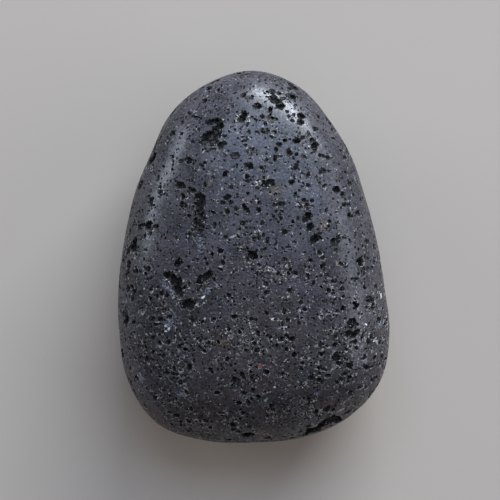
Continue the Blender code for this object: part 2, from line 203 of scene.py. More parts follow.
plainBubbles = (
    (-5.5, 17.8, 2.4, 0.8, 5), (-4.2, 14.7, 1.4, 0.8, 40), (-3.9, 15.8, 0.7, 0.5), (-5.5, 14.1, 1.2, 0.4),
    (-6.8, 14.0, 0.4, 0.4), (-8.6, 18.9, 0.8, 0.6, -60), (-8.0, 18.5, 1.2, 0.4, -30),
    (-7.3, 18.2, 1.0, 0.6, -15), (-10.5, 18.1, 0.8, 0.4, 40), (-10.8, 16.3, 0.9, 0.7, 30),
    (-9.6, 16.2, 0.6, 0.4), (-8.6, 12.6, 1.1, 0.8, -10), (-8.0, 12.3, 0.9, 0.6, 60), (-9.6, 12.5, 0.8, 0.6),
    (-10.7, 13.1, 0.6, 0.5, 90), (-10.7, 12.3, 0.8, 0.4, 90), (-10.8, 11.4, 0.5, 0.35, 90),
    (-12.0, 11.9, 0.45, 0.45), (-12.1, 13.9, 0.5, 0.3), (-12.7, 10.3, 0.9, 0.6, 80),
    (-12.4, 9.1, 0.7, 0.5, 80), (-13.5, 11.9, 0.9, 0.5, 90), (-9.6, 9.3, 1.4, 0.9, -15),
    (-8.4, 8.8, 0.8, 0.5, -30), (-8.2, 9.9, 0.6, 0.5, 20), (-3.6, 11.0, 0.7, 0.5), (-3.0, 9.1, 0.7, 0.7),
    (-3.7, 9.5, 0.4, 0.3), (-1.4, 21.3, 0.8, 0.6, 60), (-0.2, 21.2, 0.4, 0.4), (-4.8, 22.0, 0.5, 0.5),
    (-0.9, 17.4, 0.7, 0.4, 60), (-0.7, 16.3, 0.7, 0.5, 90), (-1.2, 15.2, 1.2, 0.4, 20),
    (-3.1, 17.0, 0.35, 0.35), (-2.85, 17.6, 0.3, 0.3), (-0.3, 13.7, 1.4, 0.5, 70),
    (-0.7, 11.9, 1.3, 0.8, -20), (-6.5, 12.3, 0.5, 0.4), (-3.9, 13.4, 0.9, 0.3, -45), (-0.9, 9.8, 0.7, 0.5),
    (2.5, 21.8, 1.2, 0.7, 90), (1.8, 21.8, 0.5, 0.35), (1.8, 21.1, 0.5, 0.3), (2.9, 20.7, 1.8, 1.0, -35),
    (3.5, 19.9, 1.1, 1.0), (3.8, 20.9, 0.9, 0.5, 30), (5.0, 22.9, 0.7, 0.5, -50), (4.4, 19.1, 0.4, 0.4),
    (4.6, 18.5, 0.7, 0.5, 90), (5.3, 18.7, 0.5, 0.4, 90), (5.4, 19.9, 0.5, 0.35, 90),
    (2.1, 19.3, 1.1, 0.55, 80), (1.1, 18.4, 0.7, 0.6), (0.2, 18.0, 0.7, 0.4, -20), (-0.3, 18.35, 0.6, 0.4),
    (0.5, 19.8, 1.1, 0.8), (1.4, 16.4, 1.4, 0.6, 5), (6.4, 14.7, 0.7, 0.35, 70), (6.8, 14.2, 0.35, 0.35),
    (4.1, 15.2, 0.5, 0.5), (4.7, 15.4, 0.35, 0.35), (6.05, 16.2, 0.5, 0.4, 90), (4.6, 13.6, 1.0, 0.8, 90),
    (3.4, 13.1, 0.7, 0.4, 15), (9.0, 13.3, 1.0, 0.5, -10), (9.8, 13.0, 0.6, 0.6), (5.8, 12.4, 0.4, 0.4),
    (4.1, 12.3, 0.5, 0.3), (9.9, 11.2, 0.5, 0.5), (7.1, 10.7, 1.0, 0.6, 75), (5.25, 10.4, 0.7, 0.4, 90),
    (8.2, 10.4, 0.5, 0.4, 90), (7.1, 9.3, 0.6, 0.6), (1.1, 11.4, 1.2, 0.5, -70), (1.6, 12.6, 0.9, 0.4, 25),
    (2.2, 12.2, 0.7, 0.3, -20), (2.75, 11.2, 0.35, 0.35), (1.5, 9.5, 1.1, 0.9, 20),
    (2.3, 9.7, 1.0, 0.8, -30), (1.3, 10.3, 0.4, 0.4), (0.4, 8.9, 0.6, 0.4), (9.3, 9.3, 0.8, 0.5, 30),
    (10.9, 8.8, 1.0, 0.9), (12.7, 9.7, 0.9, 0.7, 90), (8.6, 18.5, 0.6, 0.6), (12.1, 11.1, 0.5, 0.4),
    (-6.6, 5.4, 1.2, 0.5, 100), (-7.1, 2.8, 1.7, 0.85, 88), (-6.7, 3.7, 1.1, 0.5, 80),
    (-9.4, 7.7, 0.75, 0.5, 90), (-13.4, 7.5, 0.8, 0.5, 90), (-13.2, 6.7, 0.35, 0.35),
    (-9.1, 5.3, 0.6, 0.3, 35), (-8.5, 5.3, 0.5, 0.4), (-13.9, 4.3, 0.9, 0.6), (-12.9, 3.9, 0.9, 0.4),
    (-13.6, 3.6, 0.6, 0.5), (-14.5, 2.6, 0.8, 0.5), (-10.2, 2.4, 0.55, 0.4, 90), (-8.4, 2.9, 0.5, 0.4),
    (-14.2, 0.8, 0.5, 0.35, 90), (-8.45, 0.4, 0.5, 0.3, 90), (-7.4, -0.5, 0.5, 0.4, 90),
    (-6.4, -0.3, 0.6, 0.4), (-9.9, -0.8, 1.2, 0.8, 30), (-10.8, -2.2, 0.8, 0.4, 40), (-11.0, -3.1, 0.6, 0.4),
    (-9.7, -5.1, 1.2, 0.7, -50), (-6.5, -2.8, 2.6, 0.95, 28), (-7.2, -4.2, 1.2, 0.5, 50),
    (-16.1, 1.2, 1.2, 1.1), (-15.6, 0.4, 1.0, 0.5, 90), (-16.6, -2.2, 0.8, 0.7, 90), (-15.7, -1.4, 0.5, 0.4),
    (-13.4, -2.8, 0.9, 0.4, 25), (-13.5, -4.4, 0.5, 0.4), (-12.8, -5.3, 0.5, 0.4, 40),
    (-15.6, -4.4, 1.4, 0.4, 90), (-15.8, -6.4, 0.7, 0.3, 90), (-4.4, -1.7, 0.6, 0.5),
    (-3.9, -0.2, 0.5, 0.4, 90), (-2.8, -0.1, 0.4, 0.3), (-2.4, -1.95, 0.9, 0.35, 15),
    (-5.2, 4.0, 1.0, 0.6, 90), (-3.7, 2.5, 0.5, 0.5), (-3.3, 7.8, 0.9, 0.7, 20), (-2.4, 6.2, 0.8, 0.6, 80),
    (-5.3, 5.7, 0.9, 0.4, -30), (-1.1, 3.7, 0.4, 0.4), (-0.5, 2.9, 0.9, 0.5, 60), (1.2, 4.4, 0.8, 0.4, -65),
    (3.2, 6.8, 2.0, 0.6, 10), (3.4, 5.3, 0.7, 0.5, 90), (5.8, 5.0, 0.5, 0.5), (5.1, 4.5, 0.5, 0.4, 90),
    (10.8, 1.9, 1.7, 0.9, 50), (6.9, 7.0, 0.9, 0.35, 75), (6.1, 6.5, 0.7, 0.6), (5.4, 8.1, 0.8, 0.5, 50),
    (9.5, 6.0, 0.5, 0.5), (11.9, 6.8, 0.7, 0.6), (11.7, 8.1, 0.8, 0.7), (10.7, 8.7, 0.8, 0.8),
    (4.5, 3.7, 0.7, 0.4), (2.4, 3.1, 0.5, 0.3), (1.0, 2.6, 0.9, 0.4), (1.7, 2.0, 1.0, 0.6, 90),
    (2.9, 1.7, 0.8, 0.4, 80), (4.5, 1.2, 0.8, 0.4), (-1.95, 1.55, 0.4, 0.4), (6.7, -1.4, 0.35, 0.35),
    (9.1, -1.1, 0.7, 0.5, 35), (0.3, -2.3, 0.6, 0.4, 90), (7.1, -2.7, 1.1, 0.5, -75),
    (13.4, 2.6, 0.6, 0.4, -60), (9.4, -3.4, 0.7, 0.5), (4.1, -5.8, 0.6, 0.4), (11.7, -5.3, 0.5, 0.4, 90),
    (-1.3, -5.6, 0.5, 0.4), (8.6, 0.4, 0.8, 0.5, -60), (12.1, -1.4, 0.7, 0.35, 15),
    (14.5, 7.6, 0.5, 0.4, 90), (15.9, -0.2, 1.5, 0.4, -75), (15.3, 1.9, 0.3, 0.3),
    (13.3, -3.1, 0.6, 0.4, 90), (14.4, -1.9, 1.3, 0.6, 60), (13.8, -2.4, 0.8, 0.5, 90),
    (15.0, -0.4, 0.8, 0.5, 20), (15.7, -6.6, 1.2, 0.6, 80), (14.4, -2.5, 1.0, 0.5, 20),
    (14.6, -4.2, 0.6, 0.5), (15.2, -5.5, 1.2, 0.6, 10), (14.9, -6.8, 0.8, 0.5), (12.0, -8.2, 0.4, 0.4),
    (13.4, -10.1, 0.7, 0.6), (14.4, -10.4, 0.8, 0.6, 90), (13.4, -11.3, 0.8, 0.6, 90),
    (12.7, -11.9, 0.4, 0.4), (15.2, -8.9, 0.4, 0.4), (15.8, -9.7, 0.35, 0.35), (16.6, -8.3, 0.6, 0.3, 90),
    (16.4, -11.6, 0.5, 0.3, 45), (15.5, -12.4, 0.6, 0.35, 40), (14.6, -13.1, 0.5, 0.4),
    (12.8, -14.6, 0.7, 0.5, 90), (14.9, -17.4, 0.6, 0.5, 90), (13.5, -20.6, 0.6, 0.5),
    (-5.3, -8.3, 0.7, 0.6), (-4.8, -9.3, 0.5, 0.4, 90), (-3.3, -9.6, 0.5, 0.5), (-6.4, -10.9, 0.8, 0.4, 20),
    (-6.5, -12.4, 0.7, 0.5), (-9.0, -12.2, 0.6, 0.5), (-12.4, -13.0, 0.5, 0.4), (-15.7, -13.5, 0.5, 0.5),
    (-9.5, -13.5, 0.5, 0.4), (-10.6, -15.5, 0.5, 0.4), (-14.2, -17.5, 0.5, 0.4, 90), (-4.3, -20.7, 0.9, 0.4),
    (-2.8, -22.4, 0.9, 0.8, 90), (-13.3, -10.8, 0.6, 0.5, 60), (-12.4, -10.4, 0.5, 0.4),
    (-12.4, -8.9, 0.9, 0.4, 10), (-11.9, -7.2, 0.8, 0.4, 60), (-12.8, -6.6, 0.5, 0.35),
    (-11.9, -6.1, 0.5, 0.35), (-15.2, -3.6, 0.7, 0.4, 50), (-16.9, -5.3, 0.5, 0.4, 90),
    (-15.9, -12.2, 0.6, 0.5, 90), (-14.4, -11.4, 0.4, 0.3), (-17.0, -11.2, 0.6, 0.4, 90),
    (-16.8, -14.2, 0.7, 0.4, 90), (-14.4, -12.9, 0.7, 0.35, 10), (-11.8, -15.3, 0.5, 0.35, 20),
    (-12.3, -14.6, 0.5, 0.4), (-12.3, -15.9, 0.45, 0.35), (-13.0, -18.2, 0.6, 0.35, 20),
    (-12.3, -17.7, 0.6, 0.3, -40), (-11.2, -19.2, 0.5, 0.35, 60), (-13.3, -21.7, 0.6, 0.4),
    (-11.0, -22.3, 0.7, 0.5, 100), (-10.9, -13.1, 0.4, 0.3), (-10.5, -11.2, 0.5, 0.3, 50),
    (-11.2, -12.3, 0.4, 0.3), (-9.4, -11.6, 0.4, 0.35), (-8.9, -13.9, 0.6, 0.35), (-9.9, -4.9, 0.6, 0.4),
    (0.2, -8.3, 0.5, 0.4, 90), (3.7, -8.9, 0.6, 0.4, 90), (10.9, -7.2, 0.6, 0.5, 90), (9.1, -11.5, 0.4, 0.4),
    (9.0, -14.8, 1.6, 0.5, -25), (7.6, -15.6, 0.7, 0.4), (7.5, -14.0, 0.35, 0.35), (1.6, -15.2, 1.0, 0.6),
    (6.6, -18.7, 0.5, 0.5), (10.3, -18.4, 0.5, 0.4), (8.1, -20.8, 0.8, 0.6), (4.6, -20.5, 0.9, 0.5),
    (5.4, -21.5, 0.6, 0.35), (1.8, -21.1, 0.6, 0.5), (6.1, -23.4, 0.6, 0.5),
)
shallowBubbles = (
    (-4.75, 19.35, 0.75, 0.6), (-11.4, 15.6, 0.9, 0.8), (-0.6, 20.8, 1.0, 0.6), (-3.1, 20.0, 0.8, 0.5),
    (-2.5, 13.2, 1.2, 0.9), (4.8, 21.2, 1.5, 1.1, 15), (2.3, 18.1, 1.4, 0.9, -25), (7.1, 15.8, 1.3, 0.8, 80),
    (6.5, 12.9, 0.8, 0.8), (6.3, 21.3, 1.0, 0.7, 90), (-10.7, 6.0, 0.6, 0.5, 90), (1.7, -2.5, 1.1, 0.9),
    (-2.3, -16.5, 1.3, 1.2), (-7.25, 3.4, 2.8, 1.3, 90), (-10.2, -3.6, 2.2, 1.2, 110),
)
# bubbles strewn over the flanks and the underside, at the same places as in the part
strewnBubbles = {
    "count": 90,
    "smallest": 1.0,
    "largest": 2.8,
    "widths": (0.55, 0.95),
    "depths": (0.5, 0.9),
    "spacing": 1.4,
    "seed": 11,
    "clearOfMount": 4.0,
    "listedAbove": 3.0,
    "squaresPerSide": 13,
}


def makeBubbleShapes(name, wallMaterial):
    sides = bubbles["sides"][name]
    step, lumpY, lumpZ = bubbles["lumpStart"]
    group = bpy.data.collections.new(name)
    for index in range(bubbles["shapes"]):
        bm = bmesh.new()
        rings = []
        for ring, (radius, height) in enumerate(bubbles["profiles"][name]):
            angles = [2 * math.pi * (side + ring / 2) / sides for side in range(sides)]
            places = [(radius * math.cos(a), radius * math.sin(a), height) for a in angles]
            rings.append([bm.verts.new(place) for place in places])
        foot = bm.verts.new((0, 0, bubbles["bottom"]))
        bm.faces.new(rings[0])
        for side in range(sides):
            after = (side + 1) % sides
            for upper, lower in zip(rings, rings[1:]):
                bm.faces.new((upper[after], upper[side], lower[side]))
                bm.faces.new((upper[after], lower[side], lower[after]))
            bm.faces.new((rings[-1][after], rings[-1][side], foot))
        start = Vector((step * (bubbles["seed"] + index), lumpY, lumpZ))
        for vert in bm.verts:
            vert.co *= 1 + bubbles["lumpiness"] * noise.noise(vert.co / bubbles["lumpSize"] + start)
        mesh = bpy.data.meshes.new(f"{name}{index}")
        bm.to_mesh(mesh)
        bm.free()
        mesh.materials.append(wallMaterial)
        group.objects.link(bpy.data.objects.new(mesh.name, mesh))
    return group


def listedBubbles(surface):
    for depthName, rows in (("deep", deepBubbles), ("plain", plainBubbles), ("shallow", shallowBubbles)):
        for row in rows:
            x, y, length, width, turn = (*row, 0)[:5]
            spot, normal = topAt(surface, x, y)
            yield spot, normal, length, width, turn, width * bubbles["depths"][depthName]


def randomBubbles():
    values = strewnBubbles
    chance = random.Random(values["seed"])
    coarse = makeStoneShape(values["squaresPerSide"])
    top = girdle + values["listedAbove"]
    faces = [face for face in coarse.faces if face.calc_center_median().z < top * mm]
    areas = [face.calc_area() for face in faces]
    taken = []
    while len(taken) < values["count"]:
        face = chance.choices(faces, weights=areas)[0]
        a, b, c, d = (vert.co for vert in face.verts)
        share = chance.random()
        spot = a.lerp(b, share).lerp(d.lerp(c, share), chance.random())
        length = values["smallest"] * (values["largest"] / values["smallest"]) ** (chance.random() ** 2)
        width = length * chance.uniform(*values["widths"])
        if spot.z < stone["footEdge"] * mm and spot.xy.length < values["clearOfMount"] * mm:
            continue
        if any((spot - other).length < values["spacing"] * (length + size) / 2 * mm
               for other, size in taken):
            continue
        taken.append((spot, length))
        depth = width * chance.uniform(*values["depths"])
        yield spot, face.normal.copy(), length, width, chance.uniform(0, 180), depth
    coarse.free()


def clusterBalls(length, width, depth, chance):
    # the balls that make one open bubble: along, across, length, width and depth of each
    if length < cluster["singleBelow"]:
        return [(0, 0, length, width, depth)]
    steps = max(1, round(cluster["balls"] * length / width))
    ballLength = min(length, cluster["longestBall"] * width)
    balls = []
    for step in range(steps):
        share = (step + 0.5) / steps - 0.5 if steps > 1 else 0.0
        reach = share * (length - ballLength) * steps / max(steps - 1, 1)
        size = chance.uniform(*cluster["ballSize"])
        side = chance.uniform(-cluster["sideways"], cluster["sideways"]) * width
        ballDepth = depth * chance.uniform(*cluster["ballDepth"])
        balls.append((reach, side, ballLength * size, width * size, ballDepth))
    for _ in range(round(cluster["satellites"] + cluster["satellitesPerMm"] * length)):
        turn = chance.uniform(0, 2 * math.pi)
        size = width * chance.uniform(*cluster["satelliteSize"])
        edge = 1 - cluster["satelliteInset"] * size / width
        balls.append((math.cos(turn) * length / 2 * edge, math.sin(turn) * width / 2 * edge,
                      size * chance.uniform(*cluster["satelliteStretch"]), size,
                      min(size, depth) * cluster["satelliteDepth"]))
    return balls


def markBubbles(surface):
    # one loose point for every ball, carrying its size and the way it lies
    chance = random.Random(bubbles["seed"])
    gain = bubbles["mouthGain"] / 2
    points, sizes, lies, kinds = [], [], [], []
    for spot, normal, length, width, turn, depth in (*listedBubbles(surface), *randomBubbles()):
        angle = math.radians(turn)
        ahead = Vector((math.cos(angle), math.sin(angle), 0))
        across = normal.cross(ahead).normalized()
        along = across.cross(normal)
        for x, y, ballLength, ballWidth, ballDepth in clusterBalls(length, width, depth, chance):
            place, out, _, _ = surface.find_nearest(spot + (along * x + across * y) * mm)
            sideways = out.cross(along).normalized()
            turned = Matrix((sideways.cross(out), sideways, out)).transposed()
            points.append(place)
            sizes.extend(c * mm for c in (ballLength * gain, ballWidth * gain, ballDepth))
            lies.extend(turned.to_euler())
            kinds.append(next(kind for kind, least in enumerate(bubbles["widthsOver"]) if ballWidth > least))
    mesh = bpy.data.meshes.new("bubbleMarks")
    mesh.from_pydata(points, [], [])
    mesh.attributes.new("mouthSize", "FLOAT_VECTOR", "POINT").data.foreach_set("vector", sizes)
    mesh.attributes.new("lie", "FLOAT_VECTOR", "POINT").data.foreach_set("vector", lies)
    mesh.attributes.new("kind", "INT", "POINT").data.foreach_set("value", kinds)
    print("bubble marks", len(points))
    return bpy.data.objects.new("bubbleMarks", mesh)


class TreeMaker:
    # a short hand for node trees: a node's inputs are values or the sockets they are linked to
    def __init__(self, tree):
        self.tree = tree

    def socket(self, name, kind, value=None, inOut="INPUT"):
        item = self.tree.interface.new_socket(name, in_out=inOut, socket_type="NodeSocket" + kind)
        if value is not None:
            item.default_value = value
        return item.identifier

    def feed(self, node, inputs):
        for key, value in inputs.items():
            for each in value if isinstance(value, list) else [value]:
                if isinstance(each, bpy.types.NodeSocket):
                    self.tree.links.new(each, node.inputs[key])
                else:
                    node.inputs[key].default_value = each
        return node

    def add(self, kind, inputs=None, **settings):
        node = self.tree.nodes.new(kind)
        for key, value in settings.items():
            setattr(node, key, value)
        return self.feed(node, inputs or {})

    def calc(self, operation, *values):
        return self.add("ShaderNodeMath", dict(enumerate(values)), operation=operation).outputs[0]

    def remap(self, value, start, end, low=0.0, high=1.0):
        inputs = {"Value": value, "From Min": start, "From Max": end, "To Min": low, "To Max": high}
        return self.add("ShaderNodeMapRange", inputs).outputs["Result"]

    def noise(self, place, scale, detail, more=None, **settings):
        inputs = {"Vector": place, "Scale": scale, "Detail": detail, **(more or {})}
        return self.add("ShaderNodeTexNoise", inputs, **settings).outputs["Fac"]

    def compare(self, operation, first, second, kind="FLOAT"):
        a, b = (2, 3) if kind == "INT" else (0, 1)
        node = self.add("FunctionNodeCompare", {a: first, b: second}, data_type=kind, operation=operation)
        return node.outputs["Result"]


def openTree(name, inputs):
    # each input: its name, its kind and, where it has one, the value it starts with
    make = TreeMaker(bpy.data.node_groups.new(name, "GeometryNodeTree"))
    make.socket("Geometry", "Geometry")
    identifiers = {label: make.socket(label, *rest) for label, *rest in inputs}
    make.socket("Geometry", "Geometry", inOut="OUTPUT")
    return make, make.add("NodeGroupInput").outputs, identifiers


def endTree(make, geometry, material):
    # a plain mesh comes out, with the walls of the open bubbles in their own material
    plain = make.add("GeometryNodeRealizeInstances", {"Geometry": geometry}).outputs["Geometry"]
    index = make.add("GeometryNodeInputMaterialIndex").outputs["Material Index"]
    painted = make.add("GeometryNodeSetMaterial", {
        "Geometry": plain, "Selection": make.compare("GREATER_THAN", index, 0.5),
        "Material": material}).outputs["Geometry"]
    make.add("NodeGroupOutput", {"Geometry": painted})


def instanceShapes(make, points, shapes, seed, rotation, scale, selection=True):
    kit = make.add("GeometryNodeCollectionInfo",
                   {"Collection": shapes, "Separate Children": True, "Reset Children": True})
    pick = make.add("FunctionNodeRandomValue", {"Min": 0, "Max": bubbles["picks"], "Seed": seed},
                    data_type="INT")
    return make.add("GeometryNodeInstanceOnPoints", {
        "Points": points, "Selection": selection, "Instance": kit.outputs["Instances"],
        "Pick Instance": True, "Instance Index": pick.outputs["Value"], "Rotation": rotation,
        "Scale": scale}).outputs["Instances"]


def cutBalls(make, body, balls):
    return make.add("GeometryNodeMeshBoolean", {"Mesh 1": body, "Mesh 2": balls},
                    operation="DIFFERENCE", solver="MANIFOLD").outputs["Mesh"]


def makeMarkedTree():
    # a ball on every mark, cut out of the body
    make, given, identifiers = openTree("openMarkedBubbles", (
        ("Marks", "Object"),
        *((name, "Collection") for name in bubbles["profiles"]),
        ("Seed", "Int", 1),
        ("Wall material", "Material"),
    ))
    marks = make.add("GeometryNodeObjectInfo", {"Object": given["Marks"]}).outputs["Geometry"]
    size, lie, kind = (
        make.add("GeometryNodeInputNamedAttribute", {"Name": name}, data_type=data).outputs["Attribute"]
        for name, data in (("mouthSize", "FLOAT_VECTOR"), ("lie", "FLOAT_VECTOR"), ("kind", "INT")))
    balls = []
    for number, name in enumerate(bubbles["profiles"]):
        chosen = make.compare("EQUAL", kind, number, "INT")
        balls.append(instanceShapes(make, marks, given[name], given["Seed"], lie, size, chosen))
    endTree(make, cutBalls(make, given["Geometry"], balls), given["Wall material"])
    return make.tree, identifiers


# how the strewn bubbles are spread and shaped; places along and above the stone in metres
spread = {
    "ends": (-0.010, 0.014),  # y where the broad end stops and the narrow end starts
    "heights": (0.003, 0.008),  # z where the underside stops and the flank starts
    "patches": (0.38, 0.62),  # noise where a patch starts and where it is full
    "sizeBias": 2.0,  # over 1 makes most of them small
    "narrowest": 0.6,  # width against length
    "tilt": 0.3,
}
strewn = {
    "flank": {"Shapes": "smallBowl", "Density": 0.16e6, "Spacing": 0.8 * mm, "Smallest": 0.6 * mm,
              "Largest": 1.1 * mm, "Depth": 0.9, "Patch size": 5 * mm, "Highest": (girdle + 3.0) * mm,
              "Seed": 5},
    "scars": {"Shapes": "smallBowl", "Density": 0.10e6, "Spacing": 1.2 * mm, "Smallest": 0.7 * mm,
              "Largest": 1.6 * mm, "Depth": 0.2, "Share at narrow end": 0.4, "Share underneath": 0.5,
              "Patch size": 5 * mm, "Seed": 21},
    "small": {"Shapes": "smallBowl", "Density": 1.1e6, "Spacing": 0.35 * mm, "Smallest": 0.45 * mm,
              "Largest": 1.0 * mm, "Depth": 1.1, "Share at narrow end": 0.6, "Share underneath": 0.4,
              "Patch size": 3 * mm, "Seed": 14},
    "fine": {"Shapes": "sharpBowl", "Density": 0.8e6, "Spacing": 0.3 * mm, "Smallest": 0.28 * mm,
             "Largest": 0.5 * mm, "Depth": 1.3, "Share at narrow end": 0.75, "Share underneath": 0.3,
             "Patch size": 2.5 * mm, "Seed": 9},
}


def makeStrewTree():
    # balls at random over the body: patchy, and thinner towards the narrow end
    make, given, identifiers = openTree("strewBubbles", (
        ("Shapes", "Collection"),
        ("Density", "Float", 1e5),
        ("Spacing", "Float", 0.001),
        ("Smallest", "Float", 0.0005),
        ("Largest", "Float", 0.001),
        ("Depth", "Float", 0.7),
        ("Share at narrow end", "Float", 1.0),
        ("Share underneath", "Float", 1.0),
        ("Patch size", "Float", 0.004),
        ("Highest", "Float", 1.0),
        ("Seed", "Int", 1),
        ("Wall material", "Material"),
    ))
    seed = given["Seed"]
    position = make.add("GeometryNodeInputPosition").outputs["Position"]
    place = make.add("ShaderNodeSeparateXYZ", {"Vector": position}).outputs
    lengthwise = make.remap(place["Y"], *spread["ends"], 1.0, given["Share at narrow end"])
    upwards = make.remap(place["Z"], *spread["heights"], given["Share underneath"], 1.0)
    patchScale = make.calc("DIVIDE", 1.0, given["Patch size"])
    patches = make.noise(position, patchScale, 1.0, {"W": seed}, noise_dimensions="4D")
    share = make.calc("MULTIPLY", lengthwise, upwards)
    factor = make.calc("MULTIPLY", share, make.remap(patches, *spread["patches"]))
    allowed = make.compare("LESS_THAN", place["Z"], given["Highest"])
    spots = make.add("GeometryNodeDistributePointsOnFaces", {
        "Mesh": given["Geometry"], "Selection": allowed, "Distance Min": given["Spacing"],
        "Density Max": given["Density"], "Density Factor": factor, "Seed": seed},
        distribute_method="POISSON").outputs
    chance = make.add("FunctionNodeRandomValue", {"Seed": seed}, data_type="FLOAT").outputs["Value"]
    skewed = make.calc("POWER", chance, spread["sizeBias"])
    radius = make.calc("MULTIPLY", make.remap(skewed, 0.0, 1.0, given["Smallest"], given["Largest"]), 0.5)
    narrowed = make.add("FunctionNodeRandomValue", {"Min": spread["narrowest"], "Max": 1.0, "Seed": seed},
                        data_type="FLOAT").outputs["Value"]
    shares = make.add("ShaderNodeCombineXYZ", {"X": 1.0, "Y": narrowed, "Z": given["Depth"]}).outputs[0]
    size = make.add("ShaderNodeVectorMath", {0: shares, "Scale": radius}, operation="SCALE").outputs[0]
    tilt = spread["tilt"]
    spin = make.add("FunctionNodeRandomValue", {
        "Min": (-tilt, -tilt, 0.0), "Max": (tilt, tilt, 2 * math.pi), "Seed": seed},
        data_type="FLOAT_VECTOR").outputs["Value"]
    spun = make.add("FunctionNodeRotateRotation", {"Rotation": spots["Rotation"], "Rotate By": spin},
                    rotation_space="LOCAL").outputs["Rotation"]
    balls = instanceShapes(make, spots["Points"], given["Shapes"], seed, spun, size)
    endTree(make, cutBalls(make, given["Geometry"], balls), given["Wall material"])
    return make.tree, identifiers


def makeWallTree():
    # drops the chips that came loose, roughens the open walls, and stores how deep every point lies under
    # the whole skin and which are on a rim
    make, given, identifiers = openTree("roughenWalls", (
        ("Whole stone", "Object"),
        ("Noise", "Float", 0.00005),
        ("Noise length", "Float", 0.0004),
        ("Faces of largest chip", "Int", 100),
        ("Wall material", "Material"),
    ))

    def store(geometry, name, value):
        inputs = {"Geometry": geometry, "Name": name, "Value": value}
        node = make.add("GeometryNodeStoreNamedAttribute", inputs, data_type="FLOAT", domain="POINT")
        return node.outputs["Geometry"]

    whole = make.add("GeometryNodeObjectInfo", {"Object": given["Whole stone"]}).outputs["Geometry"]
    island = make.add("GeometryNodeInputMeshIsland").outputs["Island Index"]
    faces = make.add("GeometryNodeAccumulateField", {"Value": 1, "Group ID": island},
                     data_type="INT", domain="FACE").outputs["Total"]
    loose = make.compare("LESS_EQUAL", faces, given["Faces of largest chip"], "INT")
    kept = make.add("GeometryNodeDeleteGeometry", {"Geometry": given["Geometry"], "Selection": loose},
                    domain="FACE").outputs["Geometry"]
    # a point's material index is the mean of its faces': 1 inside a wall, less on a rim and 0 on the skin
    onWall = make.add("GeometryNodeInputMaterialIndex").outputs["Material Index"]
    inWall = make.compare("GREATER_THAN", onWall, 0.99)
    onRim = make.compare("GREATER_THAN", onWall, 0.01)
    scale = make.calc("DIVIDE", 1.0, given["Noise length"])
    wave = make.add("ShaderNodeTexNoise", {"Scale": scale, "Detail": 2.0}).outputs["Color"]
    centred = make.add("ShaderNodeVectorMath", {0: wave, 1: (0.5, 0.5, 0.5)},
                       operation="SUBTRACT").outputs[0]
    shift = make.add("ShaderNodeVectorMath", {0: centred, "Scale": given["Noise"]},
                     operation="SCALE").outputs[0]
    rough = make.add("GeometryNodeSetPosition", {
        "Geometry": kept, "Selection": inWall, "Offset": shift}).outputs["Geometry"]
    depth = make.add("GeometryNodeProximity", {0: whole}, target_element="FACES").outputs["Distance"]
    worn = store(store(rough, "depth", depth), "wear", onRim)
    # the skin keeps the smooth shading of the whole stone, and the walls are shaded as they are
    normal = make.add("GeometryNodeInputNormal").outputs["Normal"]
    smooth = make.add("GeometryNodeSampleNearestSurface", {"Mesh": whole, "Value": normal},
                      data_type="FLOAT_VECTOR").outputs["Value"]
    chosen = make.add("GeometryNodeSwitch", {"Switch": inWall, "False": smooth, "True": normal},
                      input_type="VECTOR").outputs["Output"]
    shaded = make.add("GeometryNodeSetMeshNormal", {"Mesh": worn, "Custom Normal": chosen},
                      mode="FREE", domain="CORNER").outputs["Mesh"]
    endTree(make, shaded, given["Wall material"])
    return make.tree, identifiers


def addTree(obj, name, treeAndSockets, values):
    tree, identifiers = treeAndSockets
    modifier = obj.modifiers.new(name, "NODES")
    modifier.node_group = tree
    for key, value in values.items():
        modifier[identifiers[key]] = value


# how the grain is built up; places along the stone in metres
grainBuild = {
    "fineness": 1.6,  # of the fine grain, against the grain
    "fineShare": 0.9,
    "tones": (1.2, 1.7),  # the sum of mottling and grains at the darkest and the lightest
    "dotRaggedness": 0.7,
    "dotHardness": 2.5,
    "pinholeReach": 0.5,
    "crystalReach": 0.45,
    "breakEdge": 0.06,
    "ends": (-0.018, 0.008),  # y where the broad end stops and the narrow end starts
}


